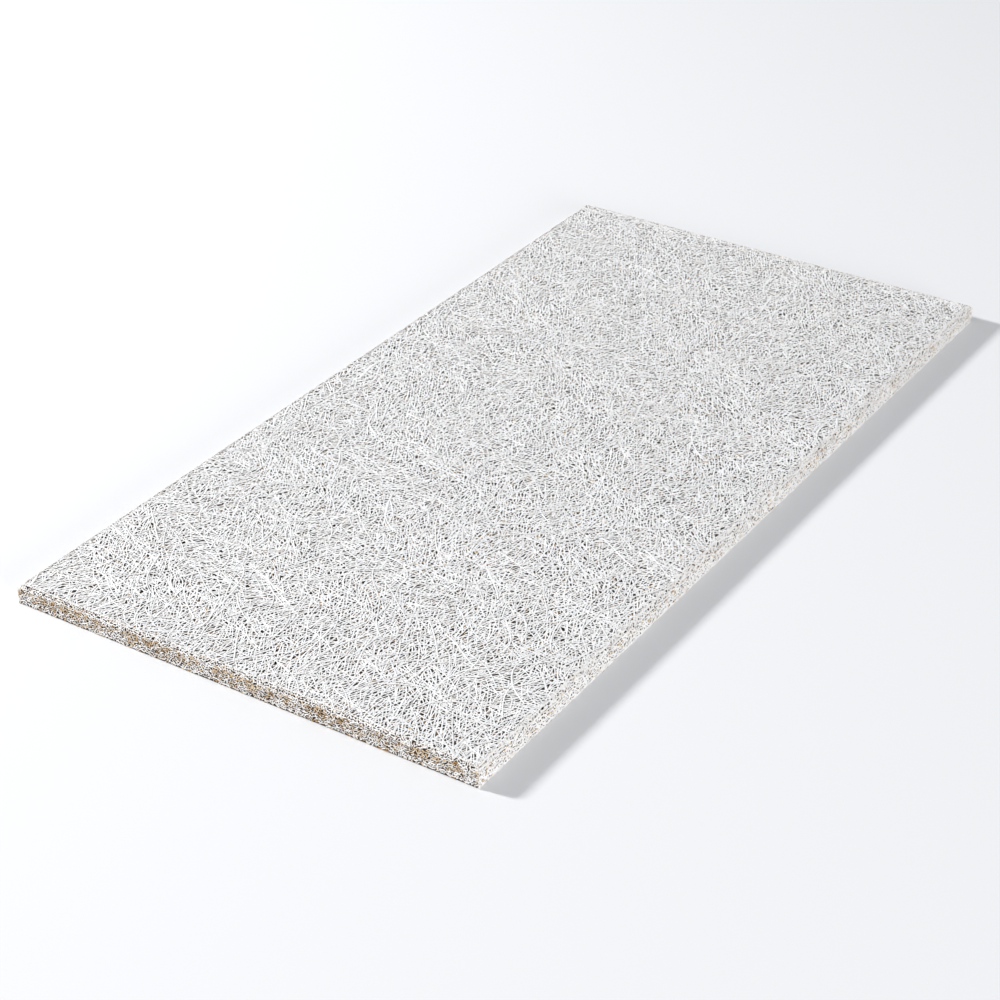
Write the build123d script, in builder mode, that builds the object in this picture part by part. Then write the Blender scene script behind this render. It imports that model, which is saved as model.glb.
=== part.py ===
from build123d import *
import os

# Wood wool acoustic panel, lying on its back with the bevelled face up.
# Millimetres. The origin is the centre of the back face: X runs across the
# board, Y runs along it and Z runs up through its thickness.

# Driving dimensions
panel_width = 600.0
panel_length = 1200.0
panel_thickness = 25.0
# The bevel comes in from the edge as far as it drops below the face.
bevel_leg = 5.0

# The board is pressed and sawn as one piece. Its back edges stay square, and
# the bevel round its face leaves a V-groove where two boards meet.
with BuildPart() as wood_wool_panel:
    with BuildSketch(Plane.XY):
        Rectangle(panel_width, panel_length)
    extrude(amount=panel_thickness)
    face_rim = wood_wool_panel.faces().sort_by(Axis.Z)[-1].edges()
    chamfer(face_rim, length=bevel_leg)

wood_wool_panel.part.label = "wood_wool_panel"

os.makedirs("parts", exist_ok=True)
export_step(wood_wool_panel.part, "parts/wood_wool_panel.step")
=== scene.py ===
import math

import bpy
import numpy as np
from mathutils import Matrix, Vector


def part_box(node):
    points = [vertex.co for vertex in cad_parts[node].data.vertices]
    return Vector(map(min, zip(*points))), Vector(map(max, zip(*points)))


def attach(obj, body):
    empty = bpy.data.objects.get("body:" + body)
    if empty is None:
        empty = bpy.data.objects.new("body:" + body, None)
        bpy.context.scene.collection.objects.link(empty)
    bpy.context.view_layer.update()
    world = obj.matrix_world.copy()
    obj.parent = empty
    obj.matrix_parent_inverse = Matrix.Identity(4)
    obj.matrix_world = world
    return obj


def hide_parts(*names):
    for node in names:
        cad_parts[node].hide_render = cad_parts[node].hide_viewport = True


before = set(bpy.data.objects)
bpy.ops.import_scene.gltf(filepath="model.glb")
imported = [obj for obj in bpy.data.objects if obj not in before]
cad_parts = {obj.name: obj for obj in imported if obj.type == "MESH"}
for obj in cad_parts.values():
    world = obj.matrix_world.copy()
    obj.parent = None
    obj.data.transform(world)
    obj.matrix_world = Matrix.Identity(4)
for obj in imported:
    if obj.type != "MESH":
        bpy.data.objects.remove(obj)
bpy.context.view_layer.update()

# The board, in metres: its box is the CAD node's, and the bevel runs round the upper face
NODE = "wood_wool_panel"
board_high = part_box(NODE)[1]
HALF = np.array([board_high[0], board_high[1]])
THICK = board_high[2]
BEVEL = 0.005
SHOULDER = THICK - BEVEL
SLANT = BEVEL * math.sqrt(2)

# The core inside the strands, as rings of four corners at an inset and a height, from the underside up.
# Its foot comes out to the edges, where its painted shade makes a dark line along the foot.
CORE_INSET = 0.0032
CORE_RINGS = (
    (0.006, 0.0012),
    (0.0008, 0.0004),
    (CORE_INSET, 0.0036),
    (CORE_INSET, SHOULDER - CORE_INSET),
    (CORE_INSET + BEVEL, THICK - CORE_INSET),
)
CORNERS = 4

# Strands of wood wool: ribbons of three corners a ring, two on the flat side out and a ridge behind it.
# STEP is about the spacing of the rings, and BEND the spread of a strand's curvature in radians a metre.
# The rolls and the twist are angles in radians.
RING = 3
STEP = 0.012
BEND = 12.0
RIBBON_THICK = (0.0004, 0.0006)
ROLL_SPREAD = 0.10
SAWN_ROLL_SPREAD = 0.40
TWIST_SPREAD = 0.08
PRESS_SPREAD = 0.0002
# Strands are cut at points further out of the board than OUTSIDE, and dropped where the cut leaves less than
# a share of the spacing of their points. TINY keeps divisors above zero.
OUTSIDE = 1e-6
SHORTEST_CUT = 0.12
TINY = 1e-9

# Paint thins out between these depths below the face, and hardly reaches a ribbon's ridge.
# The tone shifts a little from one corner of a ribbon to the next.
PAINT_DEPTH = (0.0010, 0.0026)
PAINT_ROUND = np.array([1.0, 1.0, 0.2])
TONE_ROUND = np.array([-0.03, 0.03, 0.0])
# How much paint the painted and the bare strands of the edges have
PAINTED = (0.8, 1.0)
BARE = (0.0, 0.25)

# Strands are laid on a raster, each about an open place, in stages of a length and the open share to leave.
# A batch of places is filled at once. Each is the most open of some picks, and its strand the best of a few
# tries, which take up open ground and keep off the pinholes that stay open between the strands.
# STRAND_SIDES are the places across a strand, as shares of its width, where it takes up cells.
SEED = 7
CELL = 0.00065
SAWN_CELL = 0.00045
BATCH = 64
PICKS = 30
TRIES = 24
OPEN_REACH = 2
STRAND_SIDES = np.array([-0.4, 0, 0.4])
PINHOLE_COST = 6.0
PINHOLE_JITTER = 0.3

# The main strands of the face run along the board and turn in slow swirls
SWIRL_WAVES = 6
SWIRL_LENGTH = (0.06, 0.20)
SWIRL_TURN = 0.28

# Layers of the face: long strands and bare chips strewn over it, the main layer and a deeper one
FACE_TONE = (4, 4)
FACE_LONG = dict(
    width=(0.0010, 0.0015), depth=(0.0, 0.0002), dive=(0.0001, 0.0004), tone=FACE_TONE,
    length=0.07, share=0.12,
)
FACE_CHIPS = dict(
    width=(0.0010, 0.0016), depth=(0.0, 0.0002), dive=(0.0, 0.0001), tone=FACE_TONE,
    length=0.004, share=0.0011, paint=(0.0, 0.3),
)
FACE_MAIN = dict(
    width=(0.0010, 0.0015), depth=(0.0004, 0.0009), dive=(0.0001, 0.0005), tone=FACE_TONE, spread=0.8,
    stages=((0.030, 0.36), (0.020, 0.20), (0.015, 0.11)), pitch=0.0041, radius=(0.0006, 0.0013), stretch=1.3,
)
FACE_DEEP = dict(
    width=(0.0014, 0.0020), depth=(0.0016, 0.0024), dive=(0.0002, 0.0008), tone=FACE_TONE, spread=math.pi,
    stages=((0.045, 0.78),),
)

# Strands are laid past the rim of the face and the ends of the edges, where they are cut
FACE_PAST = 0.010
EDGE_PAST = 0.004
EDGE_LOW = 0.0008

# How often strands of the edges are bare. Heights are shares of the shoulder's height.
CHIP_LENGTH = 0.006
CHIP_TOP = 1.02
CHIPS_BARE = (0.15, 0.25)
SAWN_HEIGHTS = (0.0, 0.45, 0.75, 1.0, 1.06)
SAWN_BARE = (0.12, 0.20, 0.52, 0.58, 0.0)
BEVEL_DEEP_BARE = 0.05
LONG_DEEP_BARE = 0.25
SHORT_DEEP_BARE = 0.75


def long_top_bare(height, length):
    """On the long edges only the shortest strands under the bevel are bare, more of them higher up."""
    is_chip = (length < CHIP_LENGTH) & (height < CHIP_TOP)
    return np.where(is_chip, CHIPS_BARE[0] + CHIPS_BARE[1] * height, 0.0)


def long_deep_bare(height, length):
    """Below the top layer of the long edges, some strands are bare."""
    return np.where(height > 1, BEVEL_DEEP_BARE, LONG_DEEP_BARE)


def short_top_bare(height, length):
    """The sawn short edges are bare in a band under the bevel."""
    return np.interp(height, SAWN_HEIGHTS, SAWN_BARE)


def short_deep_bare(height, length):
    """Below the top layer of the short edges, most strands are bare."""
    return np.where(height > 1, BEVEL_DEEP_BARE, SHORT_DEEP_BARE)


# Layers of the edges, from the top: the long edges are painted, and the sawn short ones have finer strands
LONG_EDGE = (
    dict(
        width=(0.0013, 0.0018), depth=(0.0, 0.0003), dive=(0.0001, 0.0003), tone=(4, 1.5),
        bare=long_top_bare, spread=0.6, low=-0.004, stages=((0.014, 0.32), (0.009, 0.16), (0.005, 0.06)),
        pitch=0.0045, radius=(0.0006, 0.0014), stretch=1.2, fade=0.6,
    ),
    dict(
        width=(0.0016, 0.0022), depth=(0.0010, 0.0016), dive=(0.0001, 0.0005), tone=(2, 2),
        bare=long_deep_bare, spread=0.6, low=-0.004, stages=((0.012, 0.50),),
    ),
)
SHORT_EDGE = (
    dict(
        width=(0.0008, 0.0012), depth=(0.0, 0.0005), dive=(0.0001, 0.0005), tone=(3.5, 1.8),
        bare=short_top_bare, spread=0.7, low=0.0020, stages=((0.005, 0.45), (0.0036, 0.25), (0.0025, 0.10)),
        pitch=0.0030, radius=(0.00045, 0.0011), stretch=1.3, roll=SAWN_ROLL_SPREAD, cell=SAWN_CELL,
    ),
    dict(
        width=(0.0011, 0.0016), depth=(0.0011, 0.0018), dive=(0.0002, 0.0006), tone=(1.5, 3),
        bare=short_deep_bare, spread=0.6, low=0.0018, stages=((0.006, 0.86),),
    ),
)

# Bare strands come thicker and thinner along the edges, in waves of these lengths and starts
PATCH_LENGTHS = np.array([0.117, 0.041, 0.023])
PATCH_STARTS = np.array([0.2, 0.7, 0.4])
PATCH_SWING = 0.35

# The back's strands have little paint, lie criss-cross and stop short of the edges.
# That leaves a dark line along the foot, of real shade in the gap and of the core's painted shade.
BACK_INSET = 0.003
BACK = dict(
    width=(0.0026, 0.0036), depth=(0.0, 0.001), dive=(0.0002, 0.0009), tone=(2, 2), spread=math.pi, tries=2,
    stages=((0.06, 0.50), (0.04, 0.37)), paint=(0.1, 0.5),
)

# Shades of the strands and of the core between them, as stops of a ramp, and how rough and shiny they are.
# The core's near-black browns are painted shade for the deep inside of the mat.
WHITE_STOPS = (
    (0.0, (0.80, 0.80, 0.81)),
    (0.5, (0.91, 0.91, 0.915)),
    (1.0, (0.95, 0.95, 0.95)),
)
BARE_STOPS = (
    (0.0, (0.10, 0.06, 0.035)),
    (0.35, (0.40, 0.23, 0.10)),
    (0.65, (0.66, 0.47, 0.26)),
    (1.0, (0.78, 0.71, 0.62)),
)
# The core's stops are painted shade, far darker than the bare strands
CORE_SHADE_STOPS = (
    (0.35, (0.04, 0.03, 0.024)),
    (0.65, (0.15, 0.11, 0.08)),
)
BARE_ROUGHNESS = 0.95
PAINT_ROUGHNESS = 0.75
STRAND_SPECULAR = 0.25
CORE_SPECULAR = 0.1
CORE_GRAIN = 400.0
CORE_DETAIL = 3.0
CORE_BUMP = 0.001

# Studio: the floor, two lamps that aim at the board, and an even sky
FLOOR_HALF = 12.0
FLOOR_COLOUR = (0.795, 0.80, 0.815)
FLOOR_ROUGHNESS = 0.9
KEY = dict(at=(-5.84, -1.66, 3.16), size=0.90, power=553)
FILL = dict(at=(5.50, -3.10, 1.40), size=2.4, power=212)
SKY_COLOUR = (0.96, 0.98, 1.0)
SKY_STRENGTH = 0.52

# Camera, solved from the board's outline, with angles in degrees and its focal length in image widths
CAMERA_AT = (1.321, -2.159, 1.461)
CAMERA_AZIMUTH = 32.63
CAMERA_ELEVATION = 31.24
CAMERA_ROLL = 0.27
FOCAL_WIDTHS = 2.409
SENSOR_WIDTH = 36.0

rng = np.random.default_rng(SEED)
swirl_waves = rng.normal(size=(SWIRL_WAVES, 2))
swirl_waves /= np.linalg.norm(swirl_waves, axis=1, keepdims=True)
swirl_waves *= 2 * math.pi / rng.uniform(*SWIRL_LENGTH, (SWIRL_WAVES, 1))
swirl_phases = rng.uniform(0, 2 * math.pi, SWIRL_WAVES)


# Geometry of the board

def room(p):
    """How far points are inside each of the board's faces, below zero where they are outside it."""
    z = p[..., 2:]
    sides = HALF - np.abs(p[..., :2])
    return np.concatenate([sides, sides - (z - SHOULDER), z, THICK - z], -1)


def press(p, inset):
    """Points moved onto the board's faces, less an inset, where they stand out of them."""
    z = np.clip(p[..., 2], inset, THICK - inset)
    limit = HALF - (inset + np.maximum(0, z - SHOULDER))[..., None]
    return np.concatenate([np.clip(p[..., :2], -limit, limit), z[..., None]], -1)


def unit(v):
    """Vectors of length one."""
    return v / np.maximum(np.linalg.norm(v, axis=-1, keepdims=True), TINY)


# Laying strands

def straight(at):
    """A heading along the sheet, at any place."""
    return 0 * at[..., 0]


def swirling(at):
    """Headings along the board that turn slowly from place to place."""
    return math.pi / 2 + SWIRL_TURN * np.sin(at @ swirl_waves.T + swirl_phases).sum(-1)


def plans(heading, length, spread):
    """Plans of gently curved strands about the origin, near their headings, as (count, points, 2)."""
    points = max(2, round(length / STEP) + 1)
    count = len(heading)
    s = np.linspace(-0.5, 0.5, points) * length
    angle = heading[:, None] + rng.normal(0, spread, (count, 1))
    angle = angle + rng.normal(0, BEND, (count, 1)) * s + rng.normal(0, BEND, (count, 1)) / length * s**2
    middle = (angle[:, 1:] + angle[:, :-1]) / 2
    place = np.zeros((count, points, 2))
    place[:, 1:] = np.cumsum(np.stack([np.cos(middle), np.sin(middle)], -1), 1) * length / (points - 1)
    return place - place.mean(1, keepdims=True)


def ground(place, width, sheet, cell):
    """The cells of a sheet that strands take up, as (count, samples, 2), and which of them lie on it."""
    run = place[:, 1:] - place[:, :-1]
    side = np.stack([-run[..., 1], run[..., 0]], -1)
    side *= width / np.maximum(np.linalg.norm(side, axis=-1, keepdims=True), TINY)
    parts = np.arange(0, 1, cell / STEP)[:, None, None]
    sides = STRAND_SIDES[None, :, None]
    at = place[:, :-1, None, None] + run[:, :, None, None] * parts + side[:, :, None, None] * sides
    at = np.floor((at.reshape(len(place), -1, 2) + sheet / 2) / cell).astype(int)
    last = np.ceil(sheet / cell).astype(int) - 1
    return at.clip(0, last), ((at >= 0) & (at <= last)).all(-1)


def openness(free, cells):
    """How many free cells lie about each of some cells."""
    about = np.arange(-OPEN_REACH, OPEN_REACH + 1)
    row, column = np.unravel_index(cells, free.shape)
    rows = (row[..., None, None] + about[:, None]).clip(0, free.shape[0] - 1)
    columns = (column[..., None, None] + about).clip(0, free.shape[1] - 1)
    return free[rows, columns].sum((-1, -2))


def pinholes(sheet, layer, heading, cell):
    """The cells of a sheet that pinholes take up: a jittered triangular net of ovals along their headings.

    The ovals shrink to a share, the fade, towards the low side of the sheet.
    """
    pitch, stretch, fade = layer["pitch"], layer["stretch"], layer.get("fade", 1.0)
    step = np.array([pitch, pitch * math.sqrt(0.75)])
    count = np.ceil(sheet / step).astype(int) + 1
    across, up = np.meshgrid(np.arange(count[0]), np.arange(count[1]), indexing="ij")
    sites = np.stack([across + up % 2 / 2, up], -1).reshape(-1, 2)
    sites = (sites + rng.uniform(-PINHOLE_JITTER, PINHOLE_JITTER, sites.shape)) * step
    size = rng.uniform(*layer["radius"], (len(sites), 1)) * np.interp(sites[:, 1:], (0, THICK), (fade, 1))
    reach = math.ceil(layer["radius"][1] * stretch / cell)
    window = np.arange(-reach, reach + 1)
    window = np.stack(np.meshgrid(window, window, indexing="ij"), -1).reshape(-1, 2)
    at = np.floor(sites / cell).astype(int)[:, None] + window
    off = (at + 0.5) * cell - sites[:, None]
    turn = heading(sites - sheet / 2)[:, None]
    along = off[..., 0] * np.cos(turn) + off[..., 1] * np.sin(turn)
    aside = off[..., 1] * np.cos(turn) - off[..., 0] * np.sin(turn)
    shape = np.ceil(sheet / cell).astype(int)
    inside = (np.hypot(along / stretch, aside * stretch) < size) & ((at >= 0) & (at < shape)).all(-1)
    holes = np.zeros(shape, bool)
    holes[tuple(at[inside].T)] = True
    return holes


def lay(sheet, layer, heading=straight):
    """Plans of the strands of one layer, by stages: each is the best of a few tries about an open place."""
    cell, tries = layer.get("cell", CELL), layer.get("tries", TRIES)
    taken = np.zeros(np.ceil(sheet / cell).astype(int), bool)
    holes = pinholes(sheet, layer, heading, cell) if "pitch" in layer else taken.copy()
    width = sum(layer["width"]) / 2
    laid = []
    for length, leave in layer["stages"]:
        kept = []
        free = ~taken & ~holes
        while free.mean() > leave:
            some = rng.choice(np.flatnonzero(free), (BATCH, PICKS))
            spots = some[np.arange(BATCH), openness(free, some).argmax(1)]
            middle = (np.stack(np.unravel_index(spots, taken.shape), -1) + 0.5) * cell - sheet / 2
            middle = np.repeat(middle, tries, 0)
            place = plans(heading(middle), length, layer["spread"]) + middle[:, None]
            at, on = ground(place, width, sheet, cell)
            where = (at[..., 0], at[..., 1])
            value = np.where(taken[where], 0, np.where(holes[where], -PINHOLE_COST, 1))
            best = (on * value).sum(1).reshape(BATCH, tries).argmax(1) + np.arange(BATCH) * tries
            spot = at[best][on[best]]
            taken[spot[:, 0], spot[:, 1]] = True
            free = ~taken & ~holes
            kept.append(place[best])
        laid.append(np.concatenate(kept))
    return laid


def strew(sheet, layer):
    """Plans of a layer's strands that lie anywhere on a sheet, and have a share of its area between them."""
    length = layer["length"]
    count = round(layer["share"] * sheet.prod() / (length * sum(layer["width"]) / 2))
    heading = rng.uniform(0, math.pi, count)
    return plans(heading, length, 0.0) + rng.uniform(-0.5, 0.5, (count, 1, 2)) * sheet


def sink(plan, layer):
    """How deep a layer's strands lie: each at a depth of its own, with its ends deeper than its middle."""
    count, points = plan.shape[:2]
    ends = np.linspace(-1, 1, points) ** 2
    return rng.uniform(*layer["depth"], (count, 1)) + rng.uniform(*layer["dive"], (count, 1)) * ends


def trim(p, *more):
    """Each strand, and what goes with its points, cut to the stretch that lies inside the board."""
    spare = room(p)
    inside = spare.min(-1)
    index = np.arange(p.shape[1])
    best = inside.argmax(1)[:, None]
    out = inside < -OUTSIDE
    before = np.where(out & (index < best), index, -1).max(1)
    after = np.where(out & (index > best), index, len(index)).min(1)
    rows = np.arange(len(p))

    def crossing(outer, inner):
        """Where strands cross the first of the board's faces between an inner point and an outer one."""
        a = spare[rows, inner.clip(0, len(index) - 1)]
        b = spare[rows, outer.clip(0, len(index) - 1)]
        share = np.where(b < 0, a / np.maximum(a - b, TINY), 1).min(-1)
        within = (outer >= 0) & (outer < len(index))
        return np.where(within, inner + (outer - inner) * share, inner)

    low, high = crossing(before, before + 1), crossing(after, after - 1)
    keep = (inside.max(1) > 0) & (high - low > SHORTEST_CUT)
    at = low[:, None] + (high - low)[:, None] * np.linspace(0, 1, len(index))
    left = np.clip(at.astype(int), 0, len(index) - 2)
    part = at - left

    def resample(a):
        """Values at the points of the cut strands."""
        f = part.reshape(part.shape + (1,) * (a.ndim - 2))
        return (a[rows[:, None], left] * (1 - f) + a[rows[:, None], left + 1] * f)[keep]

    return [resample(a) for a in (p, *more)]


# Meshes

def rings(p, normal, width, thick, roll):
    """Corners of triangular ribbons along points p: a flat side out and a ridge behind it."""
    along = unit(np.gradient(p, axis=1))
    side = unit(np.cross(along, normal))
    out = np.cross(side, along)
    c, s = np.cos(roll)[..., None], np.sin(roll)[..., None]
    across = (c * side + s * out) * width[..., None] / 2
    behind = (c * out - s * side) * thick[..., None]
    return np.stack([p - across, p + across, p - behind], 2)


def ribbons(p, normal, layer):
    """Corners of ribbons along points p, pressed to the board's faces."""
    count, points = p.shape[:2]
    width = rng.uniform(*layer["width"], (count, 1)) * np.ones(points)
    thick = rng.uniform(*RIBBON_THICK, (count, 1)) * np.ones(points)
    lean = rng.normal(0, layer.get("roll", ROLL_SPREAD), (count, 1))
    twist = rng.normal(0, TWIST_SPREAD, (count, 1)) * np.linspace(-1, 1, points)
    inset = rng.uniform(0, PRESS_SPREAD, (count, 1, 1)) * np.ones((1, points, RING))
    return press(rings(p, normal, width, thick, lean + twist), inset)


def strand_faces(first, count, points):
    """Faces of closed strands whose corners follow on from a first one: their sides and their two ends."""
    start = first + (np.arange(count) * points * RING)[:, None, None]
    ring = start + (np.arange(points - 1) * RING)[None, :, None]
    k = np.arange(RING)
    after = (k + 1) % RING
    sides = np.stack([ring + k, ring + after, ring + RING + after, ring + RING + k], -1)
    near = start[:, 0] + k[::-1]
    far = start[:, 0] + (points - 1) * RING + k
    return sides.reshape(-1, 4).tolist() + near.tolist() + far.tolist()


def sharpen(mesh, is_end):
    """Makes the edges along the strands and round their ends sharp."""
    pairs = np.empty(len(mesh.edges) * 2, np.int32)
    mesh.edges.foreach_get("vertices", pairs)
    a, b = pairs.reshape(-1, 2).T
    round_an_end = (a // RING == b // RING) & is_end[a]
    sharp = mesh.attributes.new("sharp_edge", "BOOLEAN", "EDGE")
    sharp.data.foreach_set("value", (a % RING == b % RING) | round_an_end)


def shade(mesh, paint, tone):
    """Gives a mesh of strands its paint and tone, also as a UV map for baking: they alone set its colours."""
    for key, value in (("paint", paint), ("tone", tone)):
        mesh.attributes.new(key, "FLOAT", "POINT").data.foreach_set("value", value.astype(np.float32))
    corner_of = np.empty(len(mesh.loops), np.int32)
    mesh.loops.foreach_get("vertex_index", corner_of)
    places = np.stack([paint, tone], -1)[corner_of]
    mesh.uv_layers.new(name="OFBake").uv.foreach_set("vector", places.astype(np.float32).ravel())


def piece(name, mesh, material):
    """A piece of the board, which rides on its one body."""
    mesh.materials.append(material)
    made = bpy.data.objects.new(name, mesh)
    bpy.context.scene.collection.objects.link(made)
    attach(made, "root")
    return made


def strand_piece(name, strands, material):
    """One mesh of many closed strands, given in groups of (corners, paint, tone)."""
    corners, faces, paints, tones, ends = [], [], [], [], []
    first = 0
    for corner, paint, tone in strands:
        count, points = corner.shape[:2]
        faces += strand_faces(first, count, points)
        corners.append(corner.reshape(-1, 3))
        paints.append((paint[..., None] * PAINT_ROUND).reshape(-1))
        tones.append((tone[..., None] + TONE_ROUND).reshape(-1))
        end = np.zeros((count, points, RING), bool)
        end[:, [0, -1]] = True
        ends.append(end.reshape(-1))
        first += count * points * RING
    mesh = bpy.data.meshes.new(name)
    mesh.from_pydata(np.concatenate(corners).tolist(), [], faces)
    mesh.shade_smooth()
    sharpen(mesh, np.concatenate(ends))
    shade(mesh, np.concatenate(paints).clip(0, 1), np.concatenate(tones).clip(0, 1))
    return piece(name, mesh, material)


# Materials

def new_material(name):
    """A material with its nodes, its links and its shader."""
    material = bpy.data.materials.new(name)
    material.use_nodes = True
    tree = material.node_tree
    return material, tree.nodes, tree.links, tree.nodes["Principled BSDF"]


def ramp(nodes, stops):
    """A colour ramp through stops of a place and a colour."""
    node = nodes.new("ShaderNodeValToRGB")
    while len(node.color_ramp.elements) < len(stops):
        node.color_ramp.elements.new(0.5)
    for element, (at, colour) in zip(node.color_ramp.elements, stops):
        element.position = at
        element.color = (*colour, 1)
    return node


def attribute(nodes, name):
    """The value of a mesh's attribute."""
    node = nodes.new("ShaderNodeAttribute")
    node.attribute_name = name
    return node.outputs["Fac"]


def strand_material():
    """White paint over bare strands: the paint attribute says how much, the tone attribute which shade."""
    material, nodes, links, shader = new_material("wood_wool_strand")
    paint, tone = attribute(nodes, "paint"), attribute(nodes, "tone")
    white, bare = ramp(nodes, WHITE_STOPS), ramp(nodes, BARE_STOPS)
    mix = nodes.new("ShaderNodeMix")
    mix.data_type = "RGBA"
    links.new(tone, white.inputs["Fac"])
    links.new(tone, bare.inputs["Fac"])
    links.new(paint, mix.inputs["Factor"])
    links.new(bare.outputs["Color"], mix.inputs["A"])
    links.new(white.outputs["Color"], mix.inputs["B"])
    links.new(mix.outputs["Result"], shader.inputs["Base Color"])
    rough = nodes.new("ShaderNodeMapRange")
    rough.inputs["To Min"].default_value = BARE_ROUGHNESS
    rough.inputs["To Max"].default_value = PAINT_ROUGHNESS
    links.new(paint, rough.inputs["Value"])
    links.new(rough.outputs["Result"], shader.inputs["Roughness"])
    shader.inputs["Specular IOR Level"].default_value = STRAND_SPECULAR
    return material


def core_shade_material():
    """The inside of the mat, brown between the strands: its dark colour is painted shade of the mat's depths.
    """
    material, nodes, links, shader = new_material("wood_wool_core")
    place = nodes.new("ShaderNodeTexCoord")
    noise = nodes.new("ShaderNodeTexNoise")
    noise.inputs["Scale"].default_value = CORE_GRAIN
    noise.inputs["Detail"].default_value = CORE_DETAIL
    # The core's ramp of painted shade
    brown = ramp(nodes, CORE_SHADE_STOPS)
    bump = nodes.new("ShaderNodeBump")
    bump.inputs["Distance"].default_value = CORE_BUMP
    links.new(place.outputs["Object"], noise.inputs["Vector"])
    links.new(noise.outputs["Fac"], brown.inputs["Fac"])
    links.new(brown.outputs["Color"], shader.inputs["Base Color"])
    links.new(noise.outputs["Fac"], bump.inputs["Height"])
    links.new(bump.outputs["Normal"], shader.inputs["Normal"])
    shader.inputs["Roughness"].default_value = BARE_ROUGHNESS
    shader.inputs["Specular IOR Level"].default_value = CORE_SPECULAR
    return material


# Pieces of the board

def core_piece():
    """The inside of the mat in painted shade: an inset copy of the board's form, whose foot comes out to the
    edges.
    """
    mesh = bpy.data.meshes.new("panel_core")
    corners = []
    for inset, z in CORE_RINGS:
        x, y = HALF - inset
        corners += [(-x, -y, z), (x, -y, z), (x, y, z), (-x, y, z)]
    last = CORNERS * (len(CORE_RINGS) - 1)
    faces = [range(CORNERS)[::-1], range(last, last + CORNERS)]
    for low in range(0, last, CORNERS):
        high = low + CORNERS
        for a in range(CORNERS):
            b = (a + 1) % CORNERS
            faces.append((low + a, low + b, high + b, high + a))
    mesh.from_pydata(corners, [], [tuple(face) for face in faces])
    made = piece("panel_core", mesh, core_shade_material())
    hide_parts(NODE)


def flat_strands(layer, laid, facing=1):
    """Strands pressed flat against the upper face, or the back, facing -1.

    Where a layer doesn't state its paint, there is less of it the deeper the strands lie.
    """
    made = []
    for plan in laid:
        depth = sink(plan, layer)
        z = THICK - depth if facing > 0 else depth
        (p,) = trim(np.concatenate([plan, z[..., None]], -1))
        count, points = p.shape[:2]
        tone = rng.beta(*layer["tone"], (count, 1)) * np.ones(points)
        if "paint" in layer:
            paint = rng.uniform(*layer["paint"], (count, 1)) * np.ones(points)
        else:
            paint = np.interp(THICK - p[..., 2], PAINT_DEPTH, (1, 0))
        made.append((ribbons(p, np.array([0, 0, facing]), layer), paint, tone))
    return made


def fold(u, v, depth, axis, side):
    """Points and outward normals on an edge: u along it, v up it and on up its bevel, depth inwards."""
    over = np.maximum(v - SHOULDER, 0) / math.sqrt(2)
    slope = np.where(over > 0, math.sqrt(0.5), 0.0)
    level = np.sqrt(1 - slope**2)
    out = HALF[axis] - over - depth * level
    z = np.minimum(v, SHOULDER) + over - depth * slope
    places, normals = [u, u], [0 * u, 0 * u]
    places[axis], normals[axis] = side * out, side * level
    return np.stack([*places, z], -1), np.stack([*normals, slope], -1)


def patches(along):
    """How many times as often as usual strands are bare, at places along an edge."""
    waves = np.sin(2 * math.pi * (along / PATCH_LENGTHS + PATCH_STARTS))
    return 1 + PATCH_SWING * waves.sum(-1, keepdims=True)


def edge_strands(axis, side, layers):
    """Strands along one edge of the board and its bevel, some painted and some bare."""
    made = []
    for layer in layers:
        rise = SHOULDER + SLANT + EDGE_PAST - layer["low"]
        laid = lay(np.array([2 * (HALF[1 - axis] + EDGE_PAST), rise]), layer)
        for plan, (length, _) in zip(laid, layer["stages"]):
            depth = sink(plan, layer)
            up = np.maximum(plan[..., 1] + rise / 2 + layer["low"], EDGE_LOW)
            p, normal = trim(*fold(plan[..., 0], up, depth, axis, side))
            count, points = p.shape[:2]
            tone = rng.beta(*layer["tone"], (count, 1)) * np.ones(points)
            height = p[..., 2].max(1, keepdims=True) / SHOULDER
            often = layer["bare"](height, length) * patches(p[..., 1 - axis].mean(1, keepdims=True))
            is_bare = rng.uniform(size=(count, 1)) < often
            paint = np.where(is_bare, rng.uniform(*BARE, (count, 1)), rng.uniform(*PAINTED, (count, 1)))
            made.append((ribbons(p, normal, layer), paint * np.ones(points), tone))
    return made


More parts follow.
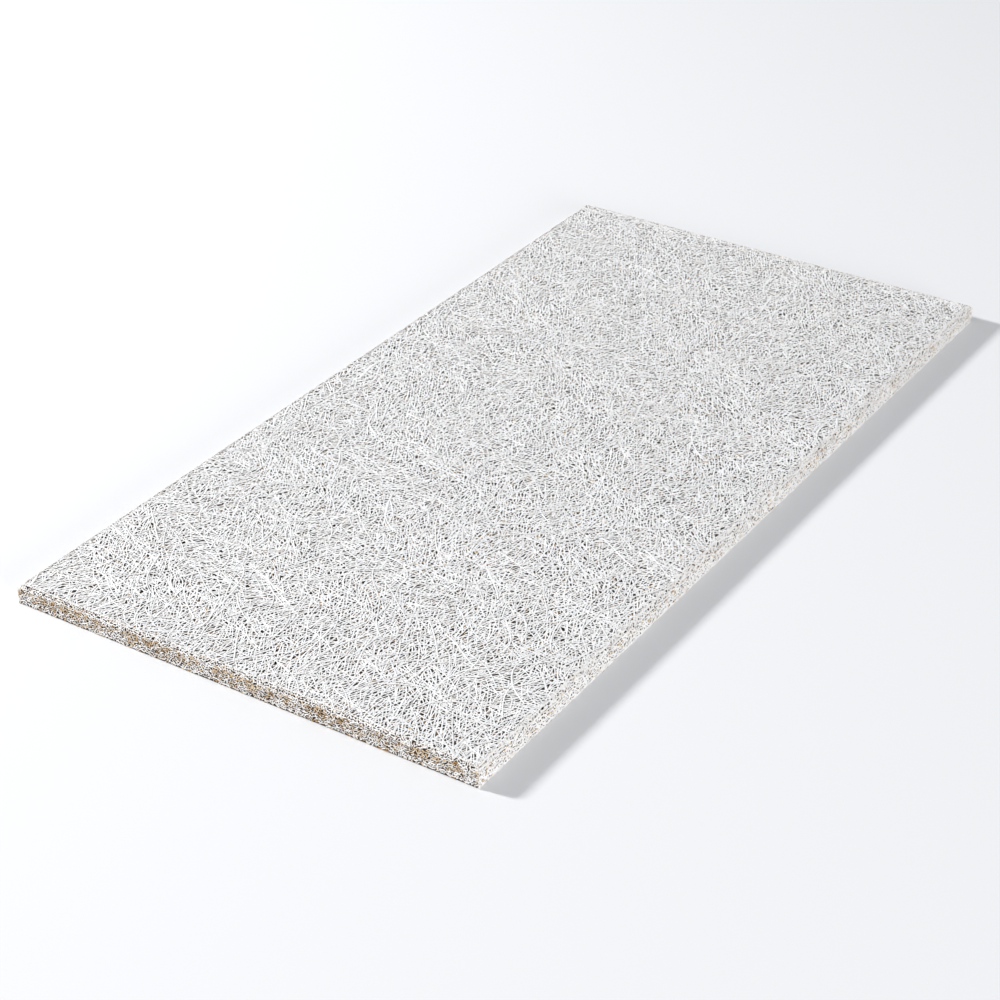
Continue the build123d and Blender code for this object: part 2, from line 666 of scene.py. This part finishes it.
def board():
    """The core and the strands of the face, the edges and the back."""
    core_piece()
    strand = strand_material()
    face = 2 * (HALF + FACE_PAST)
    on_top = flat_strands(FACE_LONG, [strew(face, FACE_LONG)])
    on_top += flat_strands(FACE_CHIPS, [strew(face, FACE_CHIPS)])
    strand_piece("face_strands_top", on_top, strand)
    for name, group in zip("abc", lay(face, FACE_MAIN, swirling)):
        strand_piece(f"face_strands_{name}", flat_strands(FACE_MAIN, [group]), strand)
    strand_piece("face_strands_deep", flat_strands(FACE_DEEP, lay(face, FACE_DEEP)), strand)
    for name, axis, side, layers in (
        ("left", 0, -1, LONG_EDGE),
        ("right", 0, 1, LONG_EDGE),
        ("front", 1, -1, SHORT_EDGE),
        ("rear", 1, 1, SHORT_EDGE),
    ):
        strand_piece(f"{name}_edge_strands", edge_strands(axis, side, layers), strand)
    back = 2 * (HALF - BACK_INSET)
    strand_piece("back_strands", flat_strands(BACK, lay(back, BACK), -1), strand)


# Studio

def floor():
    """The pale floor that the board lies on."""
    corners = [(x * FLOOR_HALF, y * FLOOR_HALF, 0) for x, y in ((-1, -1), (1, -1), (1, 1), (-1, 1))]
    mesh = bpy.data.meshes.new("floor")
    mesh.from_pydata(corners, [], [(0, 1, 2, 3)])
    material, _, _, shader = new_material("studio_floor")
    shader.inputs["Base Color"].default_value = (*FLOOR_COLOUR, 1)
    shader.inputs["Roughness"].default_value = FLOOR_ROUGHNESS
    mesh.materials.append(material)
    made = bpy.data.objects.new("floor", mesh)
    bpy.context.scene.collection.objects.link(made)


def lamp(name, at, size, power):
    """A round soft lamp that aims at the board."""
    data = bpy.data.lights.new(name, "AREA")
    data.shape = "DISK"
    data.size = size
    data.energy = power
    made = bpy.data.objects.new(name, data)
    made.location = at
    made.rotation_euler = (-Vector(at)).to_track_quat("-Z", "Y").to_euler()
    bpy.context.scene.collection.objects.link(made)


def sky():
    """An even, slightly cool light from all round."""
    world = bpy.data.worlds.new("studio")
    bpy.context.scene.world = world
    world.use_nodes = True
    background = world.node_tree.nodes["Background"]
    background.inputs["Color"].default_value = (*SKY_COLOUR, 1)
    background.inputs["Strength"].default_value = SKY_STRENGTH


def camera():
    """The camera, turned about the upright, tilted down and rolled."""
    data = bpy.data.cameras.new("camera")
    data.sensor_width = SENSOR_WIDTH
    data.lens = SENSOR_WIDTH * FOCAL_WIDTHS
    made = bpy.data.objects.new("camera", data)
    turn = Matrix.Rotation(math.radians(CAMERA_AZIMUTH), 4, "Z")
    tilt = Matrix.Rotation(math.radians(90 - CAMERA_ELEVATION), 4, "X")
    roll = Matrix.Rotation(math.radians(CAMERA_ROLL), 4, "Z")
    made.matrix_world = Matrix.Translation(CAMERA_AT) @ turn @ tilt @ roll
    bpy.context.scene.collection.objects.link(made)
    bpy.context.scene.camera = made


board()
floor()
lamp("key", **KEY)
lamp("fill", **FILL)
sky()
camera()
bpy.context.scene.view_settings.view_transform = "Standard"
